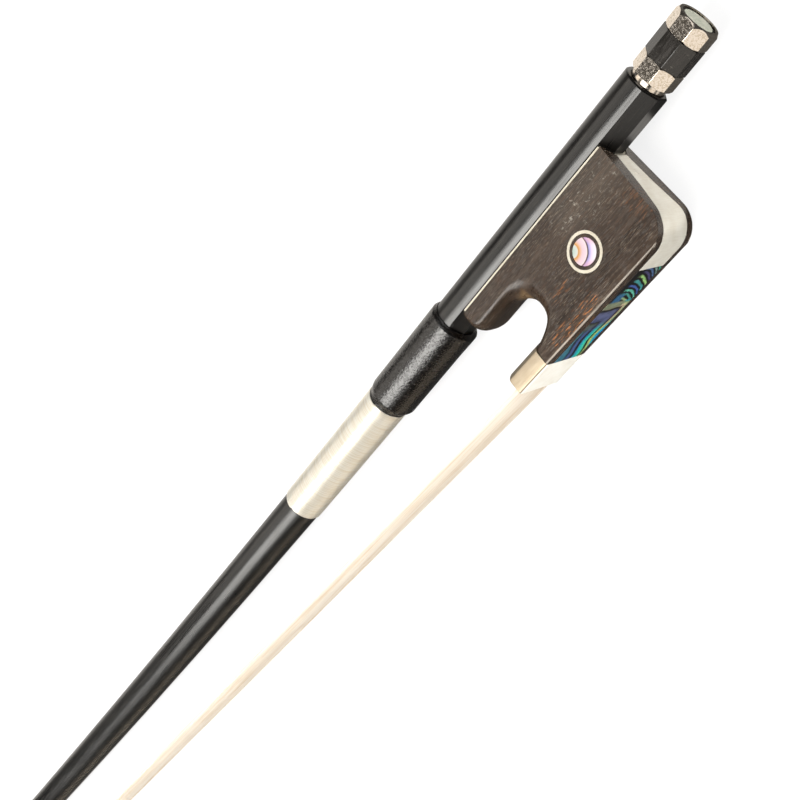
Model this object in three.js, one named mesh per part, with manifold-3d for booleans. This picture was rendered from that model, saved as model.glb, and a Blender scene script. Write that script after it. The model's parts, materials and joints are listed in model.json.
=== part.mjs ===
// A cello bow, all sizes in millimetres.
// It lies on its side: X runs along the handle to the tip, Y points to the hair, Z points up.
// The bow is drawn from the middle of the stick's end face, with the handle's axis as X.
// At the end the group is shifted, so that the origin is the middle of its footprint.
import * as THREE from 'three';
import { mergeVertices } from 'three/addons/utils/BufferGeometryUtils.js';
import Module from 'manifold-3d';

const wasm = await Module();
wasm.setup();

// Stick: a round back with three flats on the hair side, which the frog slides on
const stickLength = 699;
const handleRadius = 5;
const tipRadius = 3.3;
const taperStart = 150;
const taperCurveShare = 1.45;
const flatsEnd = 66;
const flatsFade = 14;
const endChamfer = 0.3;

// Camber: the stick bends away from the hair, more and more towards the head
const camberStart = 90;
const camberDrop = 19.5;
const camberCurveShare = 1.8;

// Holes in the stick for the screw, the button's collar and the eyelet
const boreRadius = 1.75;
const boreRoom = 4;
const collarHoleRadius = 4;
const collarHoleDepth = 2.2;
const slotWidth = 4.5;
const slotRoom = 0.5;
const slotDepth = 2.9;

// Head, carved from the stick
const headLength = 27;
const headHeight = 21.95;
const headWidth = 10.8;
const headMortiseLength = 7.6;
const headMortiseWidth = 7.2;
const headMortiseDepth = 6.6;
const headMortiseStart = 6.2;
const headLinerThickness = 0.6;
const headPlateThickness = 0.9;

// Wrappings on the stick
const gripStart = 67.3;
const gripLength = 29.7;
const gripRadius = 5.55;
const gripPadShift = 0.3;
const gripLip = 0.55;
const gripLipLength = 1.2;
const gripSkive = 3.2;
const gripSkiveThickness = 0.2;
const windingLength = 44;
const windingLoops = 24;
const wireThickness = 0.25;
const wireGap = 0.45;

// Frog: outline in X and Y, cheeks that lean outwards towards the hair
const frogBack = 13.3;
const frogTop = 2.85;
const frogBottom = 25.36;
const frogHeelRadius = 6.3;
const cheekTopWidth = 10.58;
const cheekBottomWidth = 14.62;
const cheekChamferHeight = 0.56;
const thumbCheekFront = 61.2;
const thumbNose = 2.1;
const thumbNoseRun = 7.3;
const thumbUnderside = 8.9;
const throatBack = 46.5;
const throatLip = 51.1;
const cheekUnderside = 6.6;
const cheekThroatBack = 42.3;
const cheekThroatLip = 50.6;
const lipEdge = 0.9;
const throatLipRun = 5.5;

// Ferrule, the slide on the underside and the heel plate
const ferruleBack = 52.2;
const ferruleLength = 9.7;
const ferruleTop = 19.35;
const ferruleShoulder = 22.1;
const ferruleWall = 0.6;
const ferruleBevel = 0.45;
const slideStart = 24.4;
const slideWidth = 9.8;
const slideDovetail = 0.65;
const pearlThickness = 0.95;
const backingThickness = 1.2;
const plateThickness = 0.8;
const plateTop = 5.35;
const plateTopWidth = 3.8;
const plateMiddle = 13.2;
const plateMiddleWidth = 5.9;
const plateShoulder = 21.5;
const platePinHeight = 9.9;
const platePinRadius = 0.55;
const platePinLength = 4;

// Metal lining of the frog's groove, and what fastens it
const liningThickness = 0.5;
const liningLip = 0.35;
const liningInset = 0.25;
const liningPinRadius = 0.7;
const liningPinLength = 2.3;
const liningPinBack = 20;
const liningPinFront = 57;

// Hair, its knots and the wood that holds it
const hairThickness = 1.1;
const hairWidth = 12.6;
const hairTipThickness = 0.8;
const hairTipWidth = 6.8;
const hairBundles = 24;
const hairFurrow = 0.14;
const hairLift = 0.35;
const hairEndGap = 0.5;
const strapThickness = 0.8;
const strapWidth = 8.8;
const knotRadius = 1.3;
const mortiseStart = 25.6;
const mortiseLength = 8.6;
const mortiseWidth = 9.4;
const mortiseFloor = 15.5;
const channelDepth = 1.25;
const wedgeLength = 4.4;
const plugInset = 0.35;

// Eyes in the cheeks
const eyeX = 29.7;
const eyeY = 14.9;
const eyeRingRadius = 4.28;
const eyeRingWidth = 0.68;
const eyePearlRadius = 2.85;
const eyeDepth = 1.1;

// Eyelet and screw
const eyeletX = 36.5;
const eyeletLength = 4.2;
const eyeletWidth = 4;
const eyeletTop = 2.6;
const shankRadius = 1.9;
const shankDepth = 12.4;
const screwRadius = 1.5;
const screwLength = 74;
const boreDepth = screwLength + boreRoom;

// The frog's travel from where it stands, in turns of the button
const threadPitch = 0.7;
const tightenTurns = 6;
const loosenTurns = 5;
const tightenTravel = threadPitch * tightenTurns;
const loosenTravel = threadPitch * loosenTurns;

// Button, from the stick's end outwards
const buttonGap = 1.26;
const buttonRadius = 4.79;
const buttonRoll = -1.7;
const innerRingLength = 3.8;
const buttonWoodLength = 5.85;
const outerRingLength = 3.96;
const ringFloor = 1;
const ringBevel = 0.3;
const rimRadius = 4.38;
const rimBevel = 0.75;
const tenonRadius = 3.72;
const buttonPearlRadius = 3.22;
const buttonPearlThickness = 1;
const buttonPearlRecess = 0.25;
const collarRadius = 3.88;

// Clearances: of pieces that run in each other, that seat on each other, and of inlays
const runningGap = 0.1;
const seatGap = 0.05;
const inlayGap = 0.06;
const overrun = 2;

const FLAT = Math.PI / 8;
const SIDES = 32;
const rodSides = 24;
const postSides = 16;
const pinSides = 12;
const curveSteps = 8;
const throatSteps = 10;
const edgeSteps = 7;
const mergeShare = 1e-5;

// Materials
function finish(color, roughness, metalness) {
  return new THREE.MeshStandardMaterial({ color, roughness, metalness });
}
const blackLacquer = () => finish(0x1d1c1b, 0.35, 0);
const ebony = () => finish(0x453529, 0.4, 0);
const nickelSilver = () => finish(0xd8d2c2, 0.28, 1);
const silverWire = () => finish(0xe4e0d6, 0.3, 1);
const blackLeather = () => finish(0x1b1a1a, 0.65, 0);
const horsehair = () => finish(0xe9dcc0, 0.55, 0);
const knotHair = () => finish(0xcdb78e, 0.7, 0);
const abalone = () => finish(0x3f8f8c, 0.2, 0.1);
const eyeShell = () => finish(0xe6d3dc, 0.2, 0.1);
const paleShell = () => finish(0xd3d6c4, 0.2, 0.1);
const brass = () => finish(0xb79a55, 0.35, 1);
const steel = () => finish(0xa9a9a6, 0.35, 1);
const mapleWood = () => finish(0xc9a673, 0.6, 0);
const bone = () => finish(0xe9e3d2, 0.45, 0);

// Solids: a geometry with merged corners and without collapsed triangles becomes a solid
function solid(geometry) {
  const bare = geometry.clone();
  bare.deleteAttribute('normal');
  bare.deleteAttribute('uv');
  const merged = mergeVertices(bare, mergeShare);
  const corners = merged.index.array;
  const kept = [];
  for (let i = 0; i < corners.length; i += 3) {
    const [a, b, c] = [corners[i], corners[i + 1], corners[i + 2]];
    if (a !== b && b !== c && c !== a) kept.push(a, b, c);
  }
  const vertProperties = new Float32Array(merged.attributes.position.array);
  return new wasm.Manifold(new wasm.Mesh({ numProp: 3, vertProperties, triVerts: new Uint32Array(kept) }));
}

function geometryOf(manifold) {
  const mesh = manifold.getMesh();
  const geometry = new THREE.BufferGeometry();
  geometry.setAttribute('position', new THREE.BufferAttribute(new Float32Array(mesh.vertProperties), 3));
  geometry.setIndex(new THREE.BufferAttribute(new Uint32Array(mesh.triVerts), 1));
  geometry.computeVertexNormals();
  return geometry;
}

function cut(body, ...tools) {
  return tools.reduce((rest, tool) => rest.subtract(tool), body);
}

// An outline in X and Y, pushed along Z between two heights
function slab(shape, low, high, curveSegments = curveSteps) {
  const geometry = new THREE.ExtrudeGeometry(shape, { depth: high - low, bevelEnabled: false, curveSegments });
  return geometry.translate(0, 0, low);
}

// An outline in Z and Y, the same on both sides, pushed along X
function beam(points, start, end) {
  const shape = new THREE.Shape(points.map(([z, y]) => new THREE.Vector2(z, y)));
  const geometry = new THREE.ExtrudeGeometry(shape, { depth: end - start, bevelEnabled: false });
  return geometry.rotateY(Math.PI / 2).translate(start, 0, 0);
}

// An outline in X and Z, the same on both sides, pushed along Y
function deck(points, low, high) {
  const shape = new THREE.Shape(points.map(([x, z]) => new THREE.Vector2(x, z)));
  const geometry = new THREE.ExtrudeGeometry(shape, { depth: high - low, bevelEnabled: false });
  return geometry.rotateX(-Math.PI / 2).translate(0, low, 0);
}

function box(x0, x1, y0, y1, width) {
  const geometry = new THREE.BoxGeometry(x1 - x0, y1 - y0, width);
  return geometry.translate((x0 + x1) / 2, (y0 + y1) / 2, 0);
}

// A rod along X
function rod(radius, start, end, sides = rodSides) {
  const geometry = new THREE.CylinderGeometry(radius, radius, end - start, sides);
  return geometry.rotateZ(-Math.PI / 2).translate((start + end) / 2, 0, 0);
}

// A rod along Y
function post(radius, x, low, high, sides = postSides) {
  const geometry = new THREE.CylinderGeometry(radius, radius, high - low, sides);
  return geometry.translate(x, (low + high) / 2, 0);
}

// Pairs of a radius and an X, turned round the X axis
function turned(pairs, sides = SIDES) {
  const profile = pairs.map(([radius, x]) => new THREE.Vector2(radius, x));
  return new THREE.LatheGeometry(profile, sides).rotateZ(-Math.PI / 2);
}

// A skin over rings of equal count; ends are capped, or joined to each other if it is a closed round
function loft(rings, closed = false) {
  const count = rings[0].length;
  const corners = [];
  const links = closed ? rings.length : rings.length - 1;
  for (let i = 0; i < links; i++) {
    const next = (i + 1) % rings.length;
    for (let j = 0; j < count; j++) {
      const k = (j + 1) % count;
      corners.push(i * count + j, i * count + k, next * count + k);
      corners.push(i * count + j, next * count + k, next * count + j);
    }
  }
  const points = rings.flat();
  if (!closed) {
    const last = (rings.length - 1) * count;
    const flat = rings[0].map((p) => new THREE.Vector2(p.capU ?? p.y, p.capV ?? p.z));
    const clockwise = THREE.ShapeUtils.isClockWise(flat);
    for (const [a, b, c] of THREE.ShapeUtils.triangulateShape(flat, [])) {
      if (clockwise) corners.push(a, b, c, last + a, last + c, last + b);
      else corners.push(a, c, b, last + a, last + b, last + c);
    }
  }
  const geometry = new THREE.BufferGeometry();
  const places = points.flatMap((p) => [p.x, p.y, p.z]);
  geometry.setAttribute('position', new THREE.Float32BufferAttribute(places, 3));
  geometry.setIndex(corners);
  if (volumeOf(geometry) < 0) geometry.setIndex(corners.reverse());
  return geometry;
}

function volumeOf(geometry) {
  const position = geometry.attributes.position;
  const corners = geometry.index.array;
  const [a, b, c] = [new THREE.Vector3(), new THREE.Vector3(), new THREE.Vector3()];
  let sum = 0;
  for (let i = 0; i < corners.length; i += 3) {
    a.fromBufferAttribute(position, corners[i]);
    b.fromBufferAttribute(position, corners[i + 1]);
    c.fromBufferAttribute(position, corners[i + 2]);
    sum += a.dot(b.cross(c)) / 6;
  }
  return sum;
}

// The bow's lines
const bow = new THREE.Group();
const headStart = stickLength - headLength;
const clampShare = (value) => Math.min(1, Math.max(0, value));
const smoothShare = (share) => share * share * (3 - 2 * share);

function axisY(x) {
  const share = Math.max(0, (x - camberStart) / (headStart - camberStart));
  return -camberDrop * share ** camberCurveShare;
}

function stickRadius(x) {
  const share = clampShare((x - taperStart) / (headStart - taperStart));
  return handleRadius - (handleRadius - tipRadius) * share ** taperCurveShare;
}

const headSlope = Math.atan(-camberDrop * camberCurveShare / (headStart - camberStart));
const headMatrix = new THREE.Matrix4()
  .makeRotationZ(headSlope)
  .setPosition(headStart, axisY(headStart), 0);

const flatApothem = handleRadius * Math.cos(FLAT);
const gripEnd = gripStart + gripLength;
const windingEnd = gripEnd + windingLength;
const ferruleFront = ferruleBack + ferruleLength;
const chamferStart = frogBottom - cheekChamferHeight;
const cheekLean = Math.atan((cheekBottomWidth - cheekTopWidth) / 2 / (chamferStart - frogTop));
const cheekZ = (y) => cheekTopWidth / 2 + (y - frogTop) * Math.tan(cheekLean);

function addPiece(name, geometry, material) {
  const mesh = new THREE.Mesh(geometry, material);
  mesh.name = name;
  bow.add(mesh);
  return mesh;
}

// Stick: rings of a round section whose hair side is cut to three flats along the handle
function stickRing(x, grow = 0) {
  const flatShare = 1 - clampShare((x - flatsEnd) / flatsFade);
  const radius = stickRadius(x) + grow;
  const ring = [];
  for (let i = 0; i < SIDES; i++) {
    const angle = i * 2 * Math.PI / SIDES;
    const facet = Math.round(angle / (2 * FLAT));
    const off = angle - facet * 2 * FLAT;
    const onFlats = facet >= 1 && facet <= 3;
    const flat = onFlats ? radius * Math.cos(FLAT) / Math.cos(off) : radius;
    const reach = radius + (flat - radius) * flatShare;
    ring.push(new THREE.Vector3(x, axisY(x) + reach * Math.sin(angle), reach * Math.cos(angle)));
  }
  return ring;
}

function stickStations() {
  const stations = [endChamfer, flatsEnd, flatsEnd + flatsFade];
  const wrappedCount = 4;
  const bareCount = 14;
  for (let i = 0; i <= wrappedCount; i++) {
    stations.push(gripEnd + (windingEnd - gripEnd) * i / wrappedCount);
  }
  for (let i = 1; i <= bareCount; i++) {
    stations.push(windingEnd + (headStart - windingEnd) * i / bareCount);
  }
  return stations;
}

// The head's sections at heights from the stick's axis to the face, as shares of its height and length:
// height, back edge, front edge, half width, and the share of that width that the back edge has
const headSectionShares = [
  [0.02, -0.45, 0.3, 0.6, 0.85],
  [0.1, -0.32, 0.36, 0.62, 0.7],
  [0.17, -0.15, 0.41, 0.64, 0.6],
  [0.25, -0.02, 0.46, 0.66, 0.62],
  [0.35, 0.075, 0.51, 0.69, 0.68],
  [0.47, 0.125, 0.575, 0.74, 0.74],
  [0.61, 0.135, 0.66, 0.8, 0.78],
  [0.75, 0.11, 0.775, 0.87, 0.8],
  [0.87, 0.065, 0.885, 0.93, 0.8],
  [0.95, 0.025, 0.955, 0.97, 0.8],
  [1, 0, 1, 1, 0.8],
];
const headRidgeShare = 0.1;
const headShoulderShare = 0.72;

function headSection(height, back, front, halfWidth, backWidth, atFace) {
  const length = front - back;
  const shoulder = back + length * (headShoulderShare - atFace * (1 - headShoulderShare) / 2);
  const middle = (shoulder + front) / 2 + length * headRidgeShare / 2;
  const half = [
    [back, backWidth],
    [back + length * headRidgeShare, halfWidth],
    [shoulder, halfWidth],
    [middle, halfWidth * (headShoulderShare - headRidgeShare)],
    [front, halfWidth * headRidgeShare],
  ];
  const ring = [...half, ...half.map(([u, z]) => [u, -z]).reverse()];
  return ring.map(([u, z]) => Object.assign(new THREE.Vector3(u, height, z), { capU: u, capV: z }));
}

function headRings() {
  return headSectionShares.map(([heightShare, startShare, frontShare, widthShare, backShare]) => headSection(
    heightShare * headHeight,
    startShare * headLength,
    frontShare * headLength,
    widthShare * headWidth / 2,
    widthShare * backShare * headWidth / 2,
    heightShare,
  ));
}

function headFace(low, high) {
  const face = headRings().pop();
  return deck(face.map((p) => [p.x, p.z]), low, high);
}

// The crown of the head, where the stick's round back runs out over the front: place and size of its rings
const headCrownShares = [
  [-0.4, 1], [-0.05, 1], [0.08, 0.97], [0.18, 0.88], [0.25, 0.74], [0.3, 0.55], [0.33, 0.3],
];

function headCrown() {
  const rings = headCrownShares.map(([runShare, sizeShare]) => {
    const radius = tipRadius * sizeShare;
    const ring = [];
    for (let j = 0; j < SIDES; j++) {
      const angle = j * 2 * Math.PI / SIDES;
      const y = radius * Math.sin(angle) + (tipRadius - radius);
      ring.push(new THREE.Vector3(runShare * headLength, y, radius * Math.cos(angle)));
    }
    return ring;
  });
  return loft(rings);
}

function headMortise(grow) {
  const start = headMortiseStart - grow;
  const end = headMortiseStart + headMortiseLength + grow;
  return box(start, end, headHeight - headMortiseDepth, headHeight + overrun, headMortiseWidth + 2 * grow);
}

function makeStick() {
  const chamfered = stickRing(0, -endChamfer);
  const shaft = solid(loft([chamfered, ...stickStations().map((x) => stickRing(x))]));
  const head = solid(loft(headRings())).add(solid(headCrown()));
  const carved = head.subtract(solid(headMortise(0)));
  const placed = solid(geometryOf(carved).applyMatrix4(headMatrix));
  const bore = solid(rod(boreRadius, -overrun, boreDepth, SIDES));
  const collarHole = solid(rod(collarHoleRadius, -overrun, collarHoleDepth, SIDES));
  const slotStart = eyeletX - eyeletLength / 2 - tightenTravel - slotRoom;
  const slotEnd = eyeletX + eyeletLength / 2 + loosenTravel + slotRoom;
  const slot = solid(box(slotStart, slotEnd, -slotDepth, handleRadius + overrun, slotWidth));
  const stick = cut(shaft.add(placed), bore, collarHole, slot);
  addPiece('stick', geometryOf(stick), blackLacquer());
}

// Head: liner, plate, plug and knot, in the head's own frame
function addHeadPiece(name, geometry, material) {
  addPiece(name, geometry.applyMatrix4(headMatrix), material);
}

const headLinerTop = headHeight + seatGap + headLinerThickness;
const headPlateTop = headLinerTop + seatGap + headPlateThickness;

function makeHeadPieces() {
  const window = solid(headMortise(0));
  const liner = solid(headFace(headHeight + seatGap, headLinerTop)).subtract(window);
  addHeadPiece('head_liner', geometryOf(liner), ebony());
  const plate = solid(headFace(headLinerTop + seatGap, headPlateTop)).subtract(window);
  addHeadPiece('head_plate', geometryOf(plate), bone());
  const floor = headHeight - headMortiseDepth;
  const plugStart = headMortiseStart + 2 * knotRadius + plugInset;
  const plugEnd = headMortiseStart + headMortiseLength - seatGap;
  const plug = box(plugStart, plugEnd, floor + seatGap, headPlateTop, headMortiseWidth - 2 * seatGap);
  addHeadPiece('head_plug', plug, mapleWood());
  const knotX = headMortiseStart + knotRadius + plugInset / 2;
  const knot = new THREE.CylinderGeometry(knotRadius, knotRadius, hairTipWidth, pinSides);
  knot.rotateX(Math.PI / 2).translate(knotX, floor + knotRadius + seatGap, 0);
  addHeadPiece('head_hair_knot', knot, knotHair());
}

// Leather grip: a sleeve with a thumb lip at the frog and a skived end at the winding
function makeGrip() {
  const bore = handleRadius + seatGap;
  const outer = [
    [gripStart, gripRadius - gripLip / 2],
    [gripStart + gripLipLength / 2, gripRadius + gripLip / 2],
    [gripStart + gripLipLength * 2, gripRadius + gripLip / 2],
    [gripStart + gripLipLength * 4, gripRadius],
    [gripEnd - gripSkive, gripRadius],
    [gripEnd - gripSkive / 4, handleRadius + 2 * gripSkiveThickness],
    [gripEnd, handleRadius + gripSkiveThickness],
  ];
  const thickness = (radius) => clampShare((radius - bore) / (gripRadius - bore));
  const round = (x, radius, shift) => {
    const ring = [];
    for (let i = 0; i < SIDES; i++) {
      const angle = i * 2 * Math.PI / SIDES;
      ring.push(new THREE.Vector3(x, axisY(x) + shift + radius * Math.sin(angle), radius * Math.cos(angle)));
    }
    return ring;
  };
  const inside = [[gripEnd, bore], [gripStart, bore]].map(([x, radius]) => round(x, radius, 0));
  const outside = outer.map(([x, radius]) => round(x, radius, gripPadShift * thickness(radius) / 2));
  addPiece('grip_leather', loft([...outside, ...inside], true), blackLeather());
}

// Winding: one flat wire in a helix on the stick; its turns' least gap is measured and printed
function makeWinding() {
  const steps = rodSides;
  const pitch = (windingLength - runningGap) / (windingLoops + 1);
  const inner = (handleRadius + seatGap / 2) / Math.cos(Math.PI / steps);
  const outer = inner + wireThickness;
  const wireWidth = pitch - wireGap;
  const start = gripEnd + runningGap;
  const rings = [];
  for (let i = 0; i <= windingLoops * steps; i++) {
    const angle = i * 2 * Math.PI / steps;
    const x = start + pitch * i / steps;
    const corner = (radius, along) => new THREE.Vector3(
      x + along,
      axisY(x) + radius * Math.sin(angle),
      radius * Math.cos(angle),
    );
    const bevel = wireThickness / 2;
    const wireSection = [[inner, 0], [outer, bevel], [outer, wireWidth - bevel], [inner, wireWidth]];
    rings.push(wireSection.map(([radius, along]) => (
      Object.assign(corner(radius, along), { capU: along, capV: radius })
    )));
  }
  let least = Infinity;
  for (let i = 0; i + steps < rings.length; i++) {
    least = Math.min(least, rings[i][3].distanceTo(rings[i + steps][0]));
  }
  console.log(`winding: least gap between turns ${least.toFixed(2)} mm`);
  addPiece('winding', loft(rings), silverWire());
}

// Frog
const channelFloor = frogBottom - pearlThickness - backingThickness - channelDepth - seatGap;
const slideFloor = frogBottom - pearlThickness - backingThickness - seatGap;

// The blank's side view: from the top of the heel past the thumb and the ferrule's place back to the heel
function frogOutline() {
  const outline = new THREE.Shape();
  const heelX = frogBack + frogHeelRadius;
  const heelY = frogBottom - frogHeelRadius;
  outline.moveTo(frogBack, frogTop);
  outline.lineTo(thumbFront + overrun, frogTop);
  outline.lineTo(thumbFront + overrun, throatMiddle);
  outline.lineTo(ferruleBack, throatMiddle);
  outline.lineTo(ferruleBack, frogBottom);
  outline.lineTo(heelX, frogBottom);
  outline.absarc(heelX, heelY, frogHeelRadius, Math.PI / 2, Math.PI, false);
  outline.closePath();
  return outline;
}

// The throat's line in the middle plane and on the cheeks, from the thumb's nose round to the ferrule.
// Its shares set the nose, where the throat's top turns, the throat's middle, and how the lip runs out.
const thumbFront = thumbCheekFront + thumbNose;
const throatShares = { nose: 0.6, straight: 1.55, turn: 0.47, rise: 0.47, middle: 0.6, fall: 0.3, lip: 0.35 };
const cheekShares = { nose: 0.6, straight: 0.95, turn: 0.12, rise: 0.16, middle: 0.6, fall: 0.24, lip: 0.3 };
const throatMiddle = thumbUnderside + (ferruleTop - thumbUnderside) * throatShares.middle;

function throatLine(front, underside, back, lip, lipHeight, shares) {
  const line = new THREE.Path();
  const noseSize = (underside - frogTop) * shares.nose;
  const run = lip - back;
  const width = lipHeight - underside;
  const middle = underside + width * shares.middle;
  line.moveTo(front, frogTop - overrun);
  line.lineTo(front, frogTop);
  line.bezierCurveTo(front, frogTop + noseSize, front, underside, front - noseSize, underside);
  line.lineTo(back + run * shares.straight, underside);
  line.bezierCurveTo(back + run * shares.turn, underside, back, underside + width * shares.rise, back, middle);
  line.bezierCurveTo(back, middle + width * shares.fall, back + run * shares.lip, lipHeight, lip, lipHeight);
  line.lineTo(ferruleBack, lipHeight);
  return line.getPoints(throatSteps);
}

// The throat's cutter. Its edges are rounded between the two lines, and the rounding grows
// to the thumb's round nose at one end and to the ferrule's round top at the other.
function throatCutter() {
  const line = throatLine(thumbFront, thumbUnderside, throatBack, throatLip, ferruleTop, throatShares);
  const cheek = [cheekUnderside, cheekThroatBack, cheekThroatLip, ferruleTop + lipEdge];
  const cheekLine = throatLine(thumbCheekFront, ...cheek, cheekShares);
  const far = thumbFront + 2 * overrun;
  const points = line.map((p, i) => {
    const onThumb = p.y < throatMiddle;
    const noseSize = onThumb ? clampShare(1 - (thumbFront - p.x) / thumbNoseRun) : 0;
    const lipSize = onThumb ? 0 : smoothShare(clampShare(1 - (ferruleBack - p.x) / throatLipRun));
    const setBack = cheekLine[i].clone().sub(p);
    const edge = setBack.length();
    setBack.multiplyScalar(1 - lipSize);
    setBack.y += (ferruleShoulder - ferruleTop) * lipSize;
    return { p, setBack, edge, size: Math.max(noseSize, lipSize) };
  });
  const rings = [];
  const addRing = (side, angle, beyond) => {
    const ring = points.map(({ p, setBack, edge, size }) => {
      const place = p.clone().addScaledVector(setBack, 1 - Math.cos(angle));
      const halfWidth = cheekZ(place.y);
      const deepest = halfWidth - seatGap;
      const depth = Math.min(deepest, edge + (deepest - edge) * size);
      const z = halfWidth - depth * (1 - Math.sin(angle)) + beyond;
      return new THREE.Vector3(place.x, place.y, side * z);
    });
    const first = ring[0];
    const last = ring[ring.length - 1];
    ring.push(new THREE.Vector3(far, last.y, last.z), new THREE.Vector3(far, first.y, first.z));
    rings.push(ring.map((v) => Object.assign(v, { capU: v.x, capV: v.y })));
  };
  addRing(-1, Math.PI / 2, overrun);
  for (let i = edgeSteps; i >= 0; i--) addRing(-1, i * Math.PI / 2 / edgeSteps, 0);
  for (let i = 0; i <= edgeSteps; i++) addRing(1, i * Math.PI / 2 / edgeSteps, 0);
  addRing(1, Math.PI / 2, overrun);
  return loft(rings);
}

// The view from behind, with leaning cheeks and a chamfer along the underside
function frogSection() {
  const half = [
    [cheekTopWidth / 2, frogTop - overrun],
    [cheekTopWidth / 2, frogTop],
    [cheekBottomWidth / 2, chamferStart],
    [slideWidth / 2, frogBottom],
    [slideWidth / 2, frogBottom + overrun],
  ];
  return [...half, ...half.map(([z, y]) => [-z, y]).reverse()];
}

// The ferrule's outline: a flat underside with bevelled edges, upright sides and a round top
function ferruleSection(inset) {
  const halfWidth = cheekBottomWidth / 2 - inset;
  const bottom = frogBottom - inset;
  const bevel = Math.max(ferruleBevel - inset / 2, ferruleBevel / 4);
  const steps = pinSides;
  const points = [[-halfWidth + bevel, bottom], [halfWidth - bevel, bottom]];
  points.push([halfWidth, bottom - bevel]);
  for (let i = 0; i <= steps; i++) {
    const angle = Math.PI * i / steps;
    const rise = ferruleShoulder - ferruleTop - inset;
    points.push([halfWidth * Math.cos(angle), ferruleShoulder - rise * Math.sin(angle)]);
  }
  points.push([-halfWidth, bottom - bevel]);
  return points;
}

// The stick's three flats as a groove in the frog, at a distance from the stick
function grooveSection(apothem, top) {
  const edge = apothem * Math.tan(FLAT);
  const atTop = apothem * Math.SQRT2 - top;
  return [[-atTop, top], [-edge, apothem], [edge, apothem], [atTop, top]];
}

const liningInner = flatApothem + runningGap;
const liningOuter = liningInner + liningThickness;

// The plate's side view; its pocket is the same with a gap inside and an overrun outside
function plateOutline(gap, outside) {
  const shape = new THREE.Shape();
  const radius = frogHeelRadius;
  const centreX = frogBack + radius;
  const centreY = frogBottom - radius;
  shape.moveTo(frogBack - outside, plateTop - gap);
  shape.lineTo(frogBack + plateThickness + gap, plateTop - gap);
  shape.lineTo(frogBack + plateThickness + gap, centreY);
  shape.absarc(centreX, centreY, radius - plateThickness - gap, Math.PI, Math.PI / 2, true);
  shape.lineTo(slideStart, frogBottom - plateThickness - gap);
  shape.lineTo(slideStart, frogBottom + outside);
  if (outside > 0) {
    shape.lineTo(frogBack - outside, frogBottom + outside);
  } else {
    shape.lineTo(centreX, frogBottom);
    shape.absarc(centreX, centreY, radius, Math.PI / 2, Math.PI, false);
  }
  shape.closePath();
  return shape;
}

// The heel plate seen from behind: narrow under the stick, full width from the heel's turn on
function plateWidths(grow) {
  const half = [
    [plateTopWidth / 2 + grow, plateTop - overrun],
    [plateTopWidth / 2 + grow, plateTop],
    [plateMiddleWidth / 2 + grow, plateMiddle],
    [slideWidth / 2 + grow, plateShoulder],
    [slideWidth / 2 + grow, frogBottom + 2 * overrun],
  ];
  return [...half, ...half.map(([z, y]) => [-z, y]).reverse()];
}

function heelPlate(gap, outside) {
  const sheet = solid(slab(plateOutline(gap, outside), -cheekBottomWidth, cheekBottomWidth));
  const ends = [frogBack - 2 * overrun, slideStart + overrun];
  return sheet.intersect(solid(beam(plateWidths(gap), ...ends)));
}

// The slide's dovetail at a depth from the underside
function dovetailSection(from, to, grow) {
  const half = (depth) => slideWidth / 2 + grow + slideDovetail * depth / (pearlThickness + backingThickness);
  const top = frogBottom - to;
  const low = frogBottom - from;
  return [[-half(from), low], [half(from), low], [half(to), top], [-half(to), top]];
}

// The near eye's pocket faces up; the far one is its mirror image
function eyeMatrix(side) {
  const turn = side > 0 ? cheekLean : Math.PI - cheekLean;
  return new THREE.Matrix4().makeRotationX(turn).setPosition(eyeX, eyeY, side * cheekZ(eyeY));
}

function eyeDisc(radius, low, high) {
  const geometry = new THREE.CylinderGeometry(radius, radius, high - low, SIDES);
  return geometry.rotateX(Math.PI / 2).translate(0, 0, (low + high) / 2);
}

function eyePocket(side) {
  const outer = solid(eyeDisc(eyeRingRadius + inlayGap, -eyeDepth - inlayGap, overrun));
  const island = solid(eyeDisc(eyeRingRadius - eyeRingWidth - inlayGap, -eyeDepth - overrun, 2 * overrun));
  const middle = solid(eyeDisc(eyePearlRadius + inlayGap, -eyeDepth - inlayGap, overrun));
  const pocket = outer.subtract(island).add(middle);
  return solid(geometryOf(pocket).applyMatrix4(eyeMatrix(side)));
}

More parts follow.
